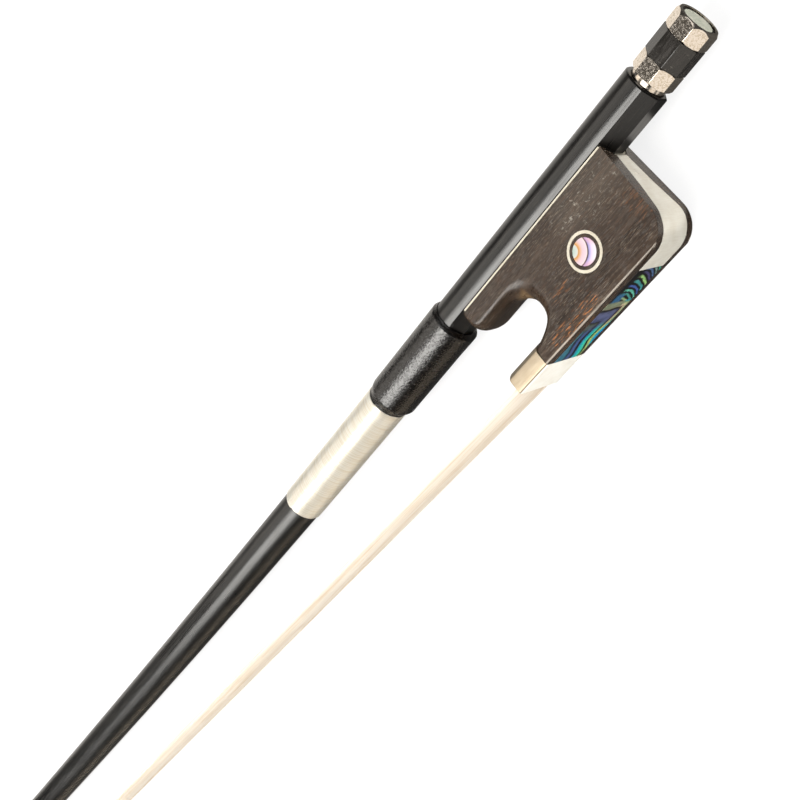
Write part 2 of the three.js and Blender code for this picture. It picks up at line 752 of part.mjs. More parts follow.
function makeFrogBlock() {
  const halfWidth = cheekBottomWidth / 2 + overrun;
  const sides = solid(slab(frogOutline(), -halfWidth, halfWidth));
  const blank = sides.intersect(solid(beam(frogSection(), frogBack - overrun, thumbFront + 2 * overrun)));
  const body = blank.subtract(solid(throatCutter()));
  const tongueEnd = ferruleFront - 2 * wedgeLength / 3;
  const tongueSize = ferruleWall + seatGap;
  const tongue = solid(beam(ferruleSection(tongueSize), ferruleBack - seatGap, tongueEnd));
  const groove = beam(grooveSection(liningOuter + seatGap, frogTop - overrun), -overrun, stickLength);
  const dovetail = beam(
    dovetailSection(-overrun, pearlThickness + backingThickness + seatGap, seatGap),
    slideStart, ferruleFront + overrun,
  );
  const channel = box(mortiseStart, ferruleFront + overrun, channelFloor, slideFloor + seatGap, mortiseWidth);
  const mouth = box(ferruleBack, ferruleFront + overrun, channelFloor, frogBottom + overrun, cheekBottomWidth);
  const mortise = box(mortiseStart, mortiseStart + mortiseLength, mortiseFloor, slideFloor, mortiseWidth);
  const shankHole = post(shankRadius + seatGap, eyeletX, 0, shankDepth + seatGap);
  const pinHoles = [liningPinBack, liningPinFront].map((x) => (
    solid(post(liningPinRadius + seatGap, x, 0, liningInner + liningPinLength + seatGap))
  ));
  const platePinHole = rod(platePinRadius + seatGap, 0, frogBack + platePinLength + seatGap, pinSides);
  const block = cut(
    body.add(tongue),
    solid(groove), heelPlate(seatGap, overrun), solid(dovetail), solid(channel), solid(mouth), solid(mortise),
    solid(shankHole), ...pinHoles, solid(platePinHole.translate(0, platePinHeight, 0)),
    eyePocket(1), eyePocket(-1),
  );
  addPiece('frog_block', geometryOf(block), ebony());
}

// The lining: three folds that follow the stick's flats, with lips turned out over the cheeks
function makeLining() {
  const lipTop = frogTop - liningLip - seatGap;
  const inner = grooveSection(liningInner, lipTop);
  const outer = grooveSection(liningOuter, frogTop - seatGap);
  const lipEdge = Math.max(cheekTopWidth / 2, outer.at(-1)[0] + seatGap);
  const lips = [[lipEdge, frogTop - seatGap], [lipEdge, lipTop]];
  const section = [
    ...outer,
    ...lips,
    ...inner.reverse(),
    ...lips.map(([z, y]) => [-z, y]).reverse(),
  ];
  const start = frogBack + liningInset;
  const end = thumbCheekFront - liningInset;
  const holes = [liningPinBack, liningPinFront].map((x) => (
    solid(post(liningPinRadius + seatGap, x, 0, frogBottom))
  ));
  const shankHole = solid(post(shankRadius + seatGap, eyeletX, 0, frogBottom));
  const lining = cut(solid(beam(section, start, end)), shankHole, ...holes);
  addPiece('groove_lining', geometryOf(lining), nickelSilver());
  [['back', liningPinBack], ['front', liningPinFront]].forEach(([where, x]) => {
    const pin = post(liningPinRadius, x, liningInner, liningInner + liningPinLength);
    addPiece(`lining_pin_${where}`, pin, nickelSilver());
  });
}

function makeHeelPlate() {
  const pinHole = rod(platePinRadius + seatGap, 0, frogBottom, pinSides).translate(0, platePinHeight, 0);
  const slideEnd = box(slideStart - seatGap, slideStart + overrun, 0, 2 * frogBottom, slideWidth);
  const plate = cut(heelPlate(0, 0), solid(pinHole), solid(slideEnd));
  addPiece('heel_plate', geometryOf(plate), nickelSilver());
  const pin = rod(platePinRadius, frogBack, frogBack + platePinLength, pinSides);
  addPiece('heel_plate_pin', pin.translate(0, platePinHeight, 0), nickelSilver());
}

function makeSlide() {
  const [start, end] = [slideStart + seatGap, ferruleBack - seatGap];
  addPiece('slide_shell', beam(dovetailSection(0, pearlThickness, 0), start, end), abalone());
  const depth = pearlThickness + seatGap;
  const backing = beam(dovetailSection(depth, pearlThickness + backingThickness, 0), start, end);
  addPiece('slide_backing', backing, ebony());
}

function makeFerrule() {
  const outer = solid(beam(ferruleSection(0), ferruleBack + seatGap, ferruleFront));
  const inner = solid(beam(ferruleSection(ferruleWall), ferruleBack - overrun, ferruleFront + overrun));
  addPiece('ferrule', geometryOf(outer.subtract(inner)), nickelSilver());
}

// What holds the hair in the frog: the strap with its knot, the plug on it and the wedge that spreads it
const hairFerruleY = frogBottom - ferruleWall - seatGap - (hairThickness + hairFurrow) / 2;
const strapEnd = ferruleBack + ferruleLength / 4;

function makeFrogHair() {
  const low = channelFloor + seatGap;
  const high = low + strapThickness;
  const knotX = mortiseStart + knotRadius + plugInset / 2;
  const knotY = mortiseFloor + knotRadius + seatGap;
  const left = knotX - strapThickness / 2;
  const right = knotX + strapThickness / 2;
  const rise = hairFerruleY - (low + high) / 2;
  const strap = new THREE.Shape();
  strap.moveTo(left, knotY);
  strap.lineTo(right, knotY);
  strap.lineTo(right, low);
  strap.lineTo(ferruleBack, low);
  strap.lineTo(strapEnd, low + rise);
  strap.lineTo(strapEnd, high + rise);
  strap.lineTo(ferruleBack, high);
  strap.lineTo(left, high);
  strap.closePath();
  const knot = new THREE.CylinderGeometry(knotRadius, knotRadius, strapWidth, pinSides);
  knot.rotateX(Math.PI / 2).translate(knotX, knotY, 0);
  const joined = solid(slab(strap, -strapWidth / 2, strapWidth / 2)).add(solid(knot));
  addPiece('frog_hair_knot', geometryOf(joined), knotHair());

  const plugStart = mortiseStart + 2 * knotRadius + plugInset;
  const plugEnd = mortiseStart + mortiseLength - seatGap;
  const plugWidth = mortiseWidth - 2 * seatGap;
  const plug = box(plugStart, plugEnd, mortiseFloor + seatGap, channelFloor - seatGap, plugWidth);
  addPiece('frog_plug', plug, mapleWood());

  const wedgeTop = hairFerruleY - (hairThickness + hairFurrow) / 2 - seatGap;
  const wedge = new THREE.Shape();
  wedge.moveTo(ferruleFront - wedgeLength, channelFloor + seatGap);
  wedge.lineTo(ferruleFront - seatGap, channelFloor + seatGap);
  wedge.lineTo(ferruleFront - seatGap, wedgeTop);
  wedge.lineTo(ferruleFront - wedgeLength / 2, wedgeTop);
  wedge.closePath();
  addPiece('spread_wedge', slab(wedge, -hairWidth / 2, hairWidth / 2), mapleWood());
}

// Hair: a ribbon of combed bundles from inside the ferrule to the head, where it turns into the mortise
function hairRing(centre, along, width, thickness) {
  const across = new THREE.Vector3(-along.y, along.x, 0);
  const ring = [];
  const place = (side, z, reach) => {
    const point = centre.clone().addScaledVector(across, side * reach);
    ring.push(Object.assign(point.setZ(z), { capU: side * reach, capV: z }));
  };
  for (const side of [1, -1]) {
    for (let i = 0; i <= 2 * hairBundles; i++) {
      const share = i / (2 * hairBundles);
      const crown = i % 2 ? hairFurrow : -hairFurrow;
      place(side, side * width * (share - 1 / 2), (thickness + crown) / 2);
    }
  }
  return ring;
}

function makeHair() {
  const turnU = headMortiseStart + knotRadius + plugInset / 2;
  const aboveV = headPlateTop + (hairTipThickness + hairFurrow) / 2 + hairLift;
  const headPoint = (u, v) => new THREE.Vector3(u, v, 0).applyMatrix4(headMatrix);
  const mouth = new THREE.Vector3(ferruleFront, hairFerruleY, 0);
  const bend = headPoint(turnU, aboveV);
  const run = bend.clone().sub(mouth).normalize();
  const flat = new THREE.Vector3(1, 0, 0);
  const down = new THREE.Vector3(0, -1, 0).transformDirection(headMatrix);
  const diagonal = run.clone().add(down).normalize();
  const floor = headHeight - headMortiseDepth + 2 * knotRadius + 2 * seatGap;
  const inside = headMortiseWidth - 2 * seatGap;
  const end = new THREE.Vector3(strapEnd + hairEndGap, hairFerruleY, 0);
  const rings = [end, mouth].map((point) => hairRing(point, flat, hairWidth, hairThickness));
  const middleCount = 3;
  for (let i = 1; i <= middleCount; i++) {
    const share = i / (middleCount + 1);
    const width = hairWidth + (inside - hairWidth) * share ** 3 / 2;
    const thickness = hairThickness + (hairTipThickness - hairThickness) * share;
    rings.push(hairRing(mouth.clone().lerp(bend, share), run, width, thickness));
  }
  const mortiseEdge = headPoint(headMortiseStart - hairThickness, 0).x;
  const edgeShare = (mortiseEdge - mouth.x) / (bend.x - mouth.x);
  rings.push(hairRing(mouth.clone().lerp(bend, edgeShare), run, inside, hairTipThickness));
  rings.push(hairRing(bend, diagonal, inside, hairTipThickness));
  rings.push(hairRing(headPoint(turnU, floor), down, inside, hairTipThickness));
  addPiece('hair_ribbon', loft(rings), horsehair());
}

function makeEyes() {
  for (const [where, side] of [['near', 1], ['far', -1]]) {
    const ring = solid(eyeDisc(eyeRingRadius, -eyeDepth, 0));
    const hole = solid(eyeDisc(eyeRingRadius - eyeRingWidth, -eyeDepth - overrun, overrun));
    const place = eyeMatrix(side);
    addPiece(`eye_ring_${where}`, geometryOf(ring.subtract(hole)).applyMatrix4(place), nickelSilver());
    addPiece(`eye_shell_${where}`, eyeDisc(eyePearlRadius, -eyeDepth, 0).applyMatrix4(place), eyeShell());
  }
}

function makeEyelet() {
  const [start, end] = [eyeletX - eyeletLength / 2, eyeletX + eyeletLength / 2];
  const body = solid(box(start, end, -eyeletTop, flatApothem - liningThickness, eyeletWidth));
  const shank = solid(post(shankRadius, eyeletX, 0, shankDepth));
  const thread = solid(rod(screwRadius + runningGap, start - overrun, end + overrun));
  addPiece('eyelet', geometryOf(body.add(shank).subtract(thread)), brass());
}

// Button: a wooden core between two metal rings, on the screw
function octagon(start, end, radius) {
  const geometry = new THREE.CylinderGeometry(radius, radius, end - start, 8);
  geometry.rotateZ(-Math.PI / 2).rotateX(FLAT + THREE.MathUtils.degToRad(buttonRoll));
  return geometry.translate((start + end) / 2, 0, 0);
}

// An octagon whose corners are turned off at both ends, down to given radii over given lengths
function turnedOctagon(start, end, startBevel, endBevel, startRadius, endRadius) {
  const profile = [
    [0, start], [startRadius, start], [buttonRadius, start + startBevel],
    [buttonRadius, end - endBevel], [endRadius, end], [0, end],
  ];
  return solid(octagon(start, end, buttonRadius)).intersect(solid(turned(profile)));
}

const innerRingEnd = -buttonGap;
const innerRingStart = innerRingEnd - innerRingLength;
const coreStart = innerRingStart - buttonWoodLength;
const buttonEnd = coreStart - outerRingLength;

function makeButton() {
  const soft = buttonRadius - ringBevel;
  const bearing = collarHoleDepth - seatGap;
  const innerBody = turnedOctagon(innerRingStart, innerRingEnd, ringBevel, ringBevel, soft, soft);
  const collar = solid(rod(collarRadius, innerRingEnd - seatGap, bearing, SIDES));
  const socket = solid(rod(tenonRadius + inlayGap, innerRingStart - overrun, innerRingEnd - ringFloor));
  const screwHole = solid(rod(screwRadius + seatGap, coreStart, 2 * collarHoleDepth));
  addPiece('button_ring_inner', geometryOf(cut(innerBody.add(collar), socket, screwHole)), nickelSilver());

  const woodRadius = [buttonRadius, buttonRadius];
  const woodEnds = [coreStart + seatGap, innerRingStart - seatGap];
  const wood = turnedOctagon(...woodEnds, ringBevel, ringBevel, ...woodRadius);
  const innerTenon = solid(rod(tenonRadius, innerRingStart - ringBevel, innerRingEnd - ringFloor - seatGap));
  const tenonEnd = buttonEnd + buttonPearlRecess;
  const outerTenon = solid(rod(tenonRadius, tenonEnd, coreStart + ringBevel));
  const seatRadius = buttonPearlRadius + inlayGap;
  const pearlSeat = solid(rod(seatRadius, tenonEnd - overrun, tenonEnd + buttonPearlThickness));
  const blindHole = solid(rod(screwRadius + seatGap, coreStart + ringBevel, 0));
  const core = cut(wood.add(innerTenon).add(outerTenon), pearlSeat, blindHole);
  addPiece('button_core', geometryOf(core), ebony());

  const outerBody = turnedOctagon(buttonEnd, coreStart, rimBevel, ringBevel, rimRadius, soft);
  const outerHole = solid(rod(tenonRadius + inlayGap, buttonEnd - overrun, coreStart + overrun));
  addPiece('button_ring_outer', geometryOf(outerBody.subtract(outerHole)), nickelSilver());

  const pearlEnd = tenonEnd + buttonPearlThickness - seatGap;
  addPiece('button_shell', rod(buttonPearlRadius, tenonEnd, pearlEnd), paleShell());
  const screwNose = screwRadius / 2;
  const screw = turned([
    [0, coreStart + ringBevel + seatGap], [screwRadius, coreStart + ringBevel + seatGap],
    [screwRadius, screwLength - screwNose], [screwNose, screwLength], [0, screwLength],
  ], rodSides);
  addPiece('adjuster_screw', screw, steel());
}

makeStick();
makeHeadPieces();
makeGrip();
makeWinding();
makeHair();
makeFrogBlock();
makeLining();
makeHeelPlate();
makeSlide();
makeFerrule();
makeFrogHair();
makeEyes();
makeEyelet();
makeButton();

// The origin is the middle of the bow's footprint, on the surface that it lies on
const reach = new THREE.Box3().setFromObject(bow);
const middle = reach.getCenter(new THREE.Vector3());
bow.position.set(-middle.x, -middle.y, -reach.min.z);

export default bow;
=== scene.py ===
import json
import math
import random

import bmesh
import bpy
from mathutils import Matrix, Vector, noise


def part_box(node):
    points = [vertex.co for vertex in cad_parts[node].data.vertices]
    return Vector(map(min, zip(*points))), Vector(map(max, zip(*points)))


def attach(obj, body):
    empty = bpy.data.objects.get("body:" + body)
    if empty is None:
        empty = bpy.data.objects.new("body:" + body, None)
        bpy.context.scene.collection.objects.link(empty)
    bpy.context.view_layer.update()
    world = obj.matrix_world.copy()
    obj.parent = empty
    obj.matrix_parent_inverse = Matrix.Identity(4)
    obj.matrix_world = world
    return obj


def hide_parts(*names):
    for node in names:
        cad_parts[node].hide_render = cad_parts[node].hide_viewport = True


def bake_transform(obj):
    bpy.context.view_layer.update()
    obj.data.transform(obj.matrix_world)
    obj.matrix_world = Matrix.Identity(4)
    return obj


MM = 0.001

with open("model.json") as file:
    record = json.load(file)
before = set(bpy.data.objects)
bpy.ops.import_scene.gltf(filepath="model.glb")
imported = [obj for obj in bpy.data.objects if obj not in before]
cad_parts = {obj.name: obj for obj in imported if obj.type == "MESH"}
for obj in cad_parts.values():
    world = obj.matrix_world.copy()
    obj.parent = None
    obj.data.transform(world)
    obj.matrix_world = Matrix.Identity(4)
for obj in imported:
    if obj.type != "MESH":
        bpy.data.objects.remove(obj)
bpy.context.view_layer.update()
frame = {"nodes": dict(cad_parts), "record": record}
nodes = frame["nodes"]


# Places that the frame gives
def low(node, axis):
    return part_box(node)[0][axis]


def high(node, axis):
    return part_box(node)[1][axis]


X, Y, Z = range(3)
AXIS_Z = (low("grip_leather", Z) + high("grip_leather", Z)) / 2
AXIS_Y = (low("button_core", Y) + high("button_core", Y)) / 2
STICK_END = low("stick", X)
HANDLE_RADIUS = 5 * MM
TIP_RADIUS = 3.3 * MM

# The stick's camber and taper, as in the CAD model
CAMBER_START = STICK_END + 90 * MM
CAMBER_DROP = 19.5 * MM
CAMBER_CURVE = 1.8
HEAD_START = STICK_END + 672 * MM
TAPER_START = STICK_END + 150 * MM
TAPER_CURVE = 1.45

# Places on the frog and the button
FERRULE_BACK = low("ferrule", X)
SLIDE_Y = high("slide_shell", Y)
SLIDE_HALF = (high("slide_shell", Z) - low("slide_shell", Z)) / 2
SHELL_START = low("slide_shell", X) / MM
HEEL_BACK = low("heel_plate", X)
BUTTON_END = low("button_ring_outer", X)
EYE_X = (low("eye_shell_near", X) + high("eye_shell_near", X)) / 2
EYE_Y = (low("eye_shell_near", Y) + high("eye_shell_near", Y)) / 2


def share_between(value, start, end):
    return min(1.0, max(0.0, (value - start) / (end - start)))


def smooth(share):
    return share * share * (3 - 2 * share)


def axis_y(x):
    return AXIS_Y - CAMBER_DROP * max(0.0, (x - CAMBER_START) / (HEAD_START - CAMBER_START)) ** CAMBER_CURVE


def stick_radius(x):
    share = share_between(x, TAPER_START, HEAD_START) ** TAPER_CURVE
    return HANDLE_RADIUS - (HANDLE_RADIUS - TIP_RADIUS) * share


# Camera
CAMERA_PLACE = Vector((-0.413396, 0.08380, 0.214718))
CAMERA_RIGHT = Vector((-0.511834, 0.575954, -0.637422))
CAMERA_DOWN = Vector((0.620458, 0.761018, 0.189421))
CAMERA_FORWARD = Vector((0.594187, -0.298542, -0.746872))
CAMERA_LENS = 52.65
CAMERA_SENSOR = 36.0


def make_camera():
    data = bpy.data.cameras.new("camera")
    data.sensor_width = CAMERA_SENSOR
    data.lens = CAMERA_LENS
    data.clip_start = 0.01
    data.clip_end = 20
    camera = bpy.data.objects.new("camera", data)
    turn = Matrix((CAMERA_RIGHT, -CAMERA_DOWN, -CAMERA_FORWARD)).transposed()
    camera.matrix_world = Matrix.Translation(CAMERA_PLACE) @ turn.to_4x4()
    bpy.context.scene.collection.objects.link(camera)
    bpy.context.scene.camera = camera


# Materials
class Finish:
    """A node material that is built up step by step round one Principled shader."""

    def __init__(self, name, **sockets):
        self.material = bpy.data.materials.new(name)
        self.material.use_nodes = True
        self.tree = self.material.node_tree
        self.shader = self.tree.nodes["Principled BSDF"]
        self.set(**sockets)

    def set(self, **sockets):
        for key, value in sockets.items():
            self.feed(self.shader.inputs[key.replace("_", " ")], value)

    def feed(self, socket, value):
        if isinstance(value, bpy.types.NodeSocket):
            self.tree.links.new(value, socket)
        else:
            socket.default_value = value

    def node(self, kind, settings=None, **inputs):
        made = self.tree.nodes.new("ShaderNode" + kind)
        for key, value in (settings or {}).items():
            setattr(made, key, value)
        for key, value in inputs.items():
            self.feed(made.inputs[key.replace("_", " ")], value)
        return made

    def millimetres(self, stretch=(1, 1, 1), shift=(0, 0, 0), turn=(0, 0, 0)):
        """Object coordinates in millimetres, scaled by stretch."""
        place = self.node("TexCoord").outputs["Object"]
        scale = Vector(stretch) / MM
        return self.node("Mapping", Vector=place, Scale=scale, Location=shift, Rotation=turn).outputs[0]

    def noise(self, size, detail=4.0, roughness=0.5, distortion=0.0, **where):
        coordinates = self.millimetres(**where)
        made = self.node("TexNoise", Vector=coordinates, Scale=1 / size, Detail=detail,
                         Roughness=roughness, Distortion=distortion)
        return made.outputs[0]

    def math(self, operation, a, b=0.0, clamp=False):
        made = self.node("Math", {"operation": operation, "use_clamp": clamp})
        self.feed(made.inputs[0], a)
        self.feed(made.inputs[1], b)
        return made.outputs[0]

    def total(self, *terms):
        result = terms[0]
        for term in terms[1:]:
            result = self.math("ADD", result, term)
        return result

    def product(self, *terms):
        result = terms[0]
        for term in terms[1:]:
            result = self.math("MULTIPLY", result, term)
        return result

    def between(self, value, start, end, to_start=0.0, to_end=1.0, kind="SMOOTHSTEP"):
        made = self.node("MapRange", {"interpolation_type": kind}, Value=value)
        for i, number in enumerate((start, end, to_start, to_end), 1):
            self.feed(made.inputs[i], number)
        return made.outputs[0]

    def ramp(self, value, *stops):
        made = self.node("ValToRGB", Fac=value)
        steps = made.color_ramp.elements
        while len(steps) < len(stops):
            steps.new(1)
        for step, (place, color) in zip(steps, sorted(stops)):
            step.position = place
            step.color = (*color, 1)
        return made.outputs[0]

    def mix(self, share, first, second, blend="MIX"):
        made = self.node("Mix", {"data_type": "RGBA", "blend_type": blend})
        self.feed(made.inputs[0], share)
        for socket, color in ((made.inputs[6], first), (made.inputs[7], second)):
            self.feed(socket, (*color, 1) if isinstance(color, tuple) else color)
        return made.outputs[2]

    def place(self, axis):
        """One of the object coordinates, in millimetres."""
        split = self.node("SeparateXYZ", Vector=self.millimetres())
        return split.outputs[axis]

    def area(self, x_span, y_span, soft):
        """One inside a box of two spans in millimetres, fading out over soft."""
        share = 1.0
        for axis, (start, end) in ((X, x_span), (Y, y_span)):
            value = self.place(axis)
            after_start = self.between(value, start - soft, start)
            before_end = self.between(value, end + soft, end)
            share = self.product(share, self.product(after_start, before_end))
        return share

    def bump(self, height, depth):
        """Adds a relief; height runs from 0 to 1 and depth is in metres."""
        made = self.node("Bump", Height=height, Strength=1.0, Distance=depth)
        before = self.shader.inputs["Normal"]
        if before.is_linked:
            self.feed(made.inputs["Normal"], before.links[0].from_socket)
        self.set(Normal=made.outputs[0])


def black_lacquer():
    finish = Finish("black_lacquer", Specular_IOR_Level=0.7)
    grain = finish.noise(0.28, 5, 0.62, stretch=(0.02, 1, 1))
    scratch = finish.noise(0.16, 3, 0.6, stretch=(0.025, 1, 1), shift=(4, 7, 2))
    cloud = finish.noise(9, 3, stretch=(0.25, 1, 1))
    color = finish.ramp(
        grain,
        (0.36, (0.001, 0.0007, 0.0004)),
        (0.56, (0.0018, 0.0013, 0.0008)),
        (0.74, (0.012, 0.0095, 0.0065)),
    )
    color = finish.mix(finish.between(scratch, 0.6, 0.7, 0.0, 0.45), color, (0.05, 0.044, 0.034))
    satin = finish.between(cloud, 0.3, 0.7, 0.26, 0.32)
    finish.set(Base_Color=color, Roughness=finish.total(satin, finish.between(grain, 0.4, 0.66, 0.0, 0.1)))
    finish.bump(grain, 0.011 * MM)
    return finish.material


def ebony():
    finish = Finish("ebony", Specular_IOR_Level=0.4)
    streak = finish.noise(0.8, 6, 0.62, 0.2, stretch=(0.09, 1, 1))
    band = finish.noise(4, 2, stretch=(0.1, 1, 1))
    tone = finish.total(finish.product(streak, 0.6), finish.product(band, 0.4))
    wood = finish.ramp(
        tone,
        (0.34, (0.014, 0.0082, 0.005)),
        (0.5, (0.03, 0.0185, 0.012)),
        (0.66, (0.052, 0.034, 0.022)),
    )
    fleck = finish.noise(0.15, 3, 0.6, stretch=(0.09, 1, 1), shift=(3, 1, 2))
    patch = finish.between(finish.noise(5, 2, stretch=(0.5, 1, 1), shift=(7, 2, 5)), 0.4, 0.62)
    pale = finish.product(finish.between(fleck, 0.56, 0.67), finish.total(finish.product(patch, 0.6), 0.4))
    wood = finish.mix(finish.product(pale, 0.5), wood, (0.26, 0.21, 0.155))
    dark = finish.between(finish.noise(0.2, 3, 0.6, stretch=(0.07, 1, 1), shift=(5, 8, 1)), 0.56, 0.68)
    wood = finish.mix(finish.product(dark, 0.6), wood, (0.02, 0.014, 0.01))
    # A slightly lighter tint and denser scratches at the top of the cheek behind the eye
    heel, foot, front = HEEL_BACK / MM, SLIDE_Y / MM, FERRULE_BACK / MM
    cheek_top_patch = finish.area((heel + 1, heel + 15), (foot - 22, foot - 17), 5)
    wood = finish.mix(finish.product(cheek_top_patch, 0.08), wood, (0.2, 0.18, 0.15))
    thread = finish.math("ABSOLUTE", finish.total(finish.noise(1.6, 4, 0.7, 0.8, shift=(2, 6, 3)), -0.5))
    gap = finish.between(finish.noise(1.3, 2, shift=(8, 8, 1)), 0.55, 0.66)
    amount = finish.total(finish.product(cheek_top_patch, 0.8), 0.08)
    scratch = finish.product(finish.between(thread, 0.02, 0.0), gap, amount)
    wood = finish.mix(scratch, wood, (0.42, 0.39, 0.33))
    # Orange grain along the slide, in front of the eye and at the heel
    spot = finish.between(finish.noise(0.3, 4, 0.6, stretch=(0.13, 1, 1), shift=(11, 4, 8)), 0.54, 0.64)
    by_slide = finish.area((front - 18, front - 5), (foot - 2.8, foot - 1.0), 1.4)
    by_eye = finish.product(finish.area((front - 16, front - 11), (foot - 9.4, foot - 8.2), 0.9), 0.45)
    at_heel = finish.product(finish.area((heel, heel + 3), (foot - 12, foot - 6), 2), 0.25)
    rusty = finish.math("MAXIMUM", finish.math("MAXIMUM", by_slide, by_eye), at_heel)
    rusty = finish.total(finish.product(rusty, 0.9), 0.04)
    wood = finish.mix(finish.product(spot, rusty), wood, (0.38, 0.13, 0.03))
    golden = finish.area((front - 5, front + 7), (foot - 15.2, foot - 12.8), 1.2)
    wood = finish.mix(finish.product(golden, streak, 0.9), wood, (0.2, 0.12, 0.05))
    # The edges along the slide carry a painted highlight, a pale line, and the thumb has rubbed the throat to
    # a satin
    side = finish.math("ABSOLUTE", finish.total(finish.place(Z), -AXIS_Z / MM))
    painted_ridge_highlight = finish.product(
        finish.between(side, 6.9, 7.1),
        finish.between(finish.place(Y), foot - 0.72, foot - 0.52),
        finish.between(finish.place(Y), foot - 0.18, foot - 0.34),
    )
    painted_ridge_highlight = finish.product(painted_ridge_highlight, finish.between(streak, 0.3, 0.6, 0.5, 0.9))
    # Painted highlight: a pale line along the cheeks' edges by the slide
    wood = finish.mix(painted_ridge_highlight, wood, (0.36, 0.32, 0.27))
    thumbed = finish.product(finish.area((front - 9, front + 8), (foot - 19, foot - 13.5), 2), 0.06)
    finish.set(Base_Color=wood, Roughness=finish.total(finish.between(streak, 0.3, 0.7, 0.2, 0.3), thumbed))
    pore = finish.between(finish.noise(0.16, 2, stretch=(0.08, 1, 1), shift=(1, 9, 4)), 0.58, 0.72)
    finish.bump(pore, -0.015 * MM)
    return finish.material


def button_ebony():
    finish = Finish("button_ebony", Specular_IOR_Level=0.5)
    streak = finish.noise(0.8, 5, 0.6, stretch=(0.2, 1, 1))
    wood = finish.ramp(streak, (0.35, (0.009, 0.0075, 0.006)), (0.7, (0.028, 0.024, 0.02)))
    scratch = finish.noise(0.2, 2, 0.5, stretch=(1, 0.12, 0.5), turn=(0.3, 0.7, 0.2))
    marks = finish.between(scratch, 0.64, 0.74)
    wood = finish.mix(finish.product(marks, 0.5), wood, (0.18, 0.165, 0.14))
    finish.set(Base_Color=wood, Roughness=finish.between(streak, 0.3, 0.7, 0.2, 0.32))
    finish.bump(marks, -0.006 * MM)
    return finish.material


def nickel_silver(name, dark, light, metal, roughness, line_stretch, painted_foot_reflection=False):
    """Satin metal whose faint lines run along the axis that is stretched least."""
    finish = Finish(name, Metallic=metal, Specular_IOR_Level=0.5)
    cloud = finish.noise(3, 2, 0.5)
    line = finish.noise(0.18, 3, 0.6, stretch=line_stretch)
    tone = finish.total(finish.product(cloud, 0.5), finish.product(line, 0.5))
    color = finish.ramp(tone, (0.36, dark), (0.62, light))
    if painted_foot_reflection:
        # The underside is painted pale and not metallic, a painted reflection of the pale surroundings it
        # faces
        foot = finish.between(finish.place(Y), SLIDE_Y / MM - 0.3, SLIDE_Y / MM - 0.12)
        pale = finish.ramp(tone, (0.36, (0.86, 0.82, 0.72)), (0.62, (0.97, 0.95, 0.88)))
        color = finish.mix(foot, color, pale)
        finish.set(Metallic=finish.product(finish.between(foot, 1.0, 0.0), metal))
    finish.set(Base_Color=color)
    finish.set(Roughness=finish.between(line, 0.3, 0.7, roughness, roughness + 0.08))
    finish.bump(line, 0.0025 * MM)
    return finish.material


def button_silver():
    finish = Finish("button_silver", Metallic=1.0)
    speck = finish.noise(0.4, 3, 0.7)
    color = finish.ramp(speck, (0.4, (0.56, 0.48, 0.38)), (0.56, (0.82, 0.74, 0.65)))
    finish.set(Base_Color=color, Roughness=finish.between(speck, 0.35, 0.7, 0.14, 0.24))
    finish.bump(speck, 0.014 * MM)
    return finish.material


def silver_wire():
    finish = Finish("silver_wire", Metallic=0.55, Roughness=0.34, Specular_IOR_Level=0.5)
    turn = finish.noise(0.3, 2, stretch=(1, 0.03, 0.03))
    finish.set(Base_Color=finish.ramp(turn, (0.35, (0.78, 0.72, 0.6)), (0.6, (0.87, 0.84, 0.76))))
    return finish.material


def black_leather():
    finish = Finish("black_leather", Specular_IOR_Level=0.75)
    warp = finish.noise(1.4, 2)
    cells = finish.node("TexVoronoi", {"feature": "F1"}, Vector=finish.millimetres(stretch=(1, 0.8, 0.8)),
                        Scale=1 / 0.36, Randomness=1.0).outputs["Distance"]
    pebble = finish.between(cells, 0.12, 0.7, 1.0, 0.0)
    fine = finish.noise(0.14, 3, 0.6)
    height = finish.total(finish.product(pebble, 0.8), finish.product(fine, 0.16))
    color = finish.ramp(pebble, (0.1, (0.002, 0.0013, 0.0008)), (0.9, (0.007, 0.0048, 0.003)))
    finish.set(Base_Color=color, Roughness=finish.between(warp, 0.3, 0.7, 0.2, 0.28))
    finish.bump(height, 0.045 * MM)
    return finish.material


def horsehair(name, dark, light):
    finish = Finish(name, Roughness=0.5, Specular_IOR_Level=0.4)
    strand = finish.noise(0.4, 3, 0.55, stretch=(0.004, 1, 1))
    lock = finish.noise(2.2, 3, 0.6, stretch=(0.01, 1, 1))
    tone = finish.total(finish.product(strand, 0.5), finish.product(lock, 0.5))
    finish.set(Base_Color=finish.ramp(tone, (0.4, dark), (0.53, light)))
    finish.bump(strand, 0.012 * MM)
    return finish.material


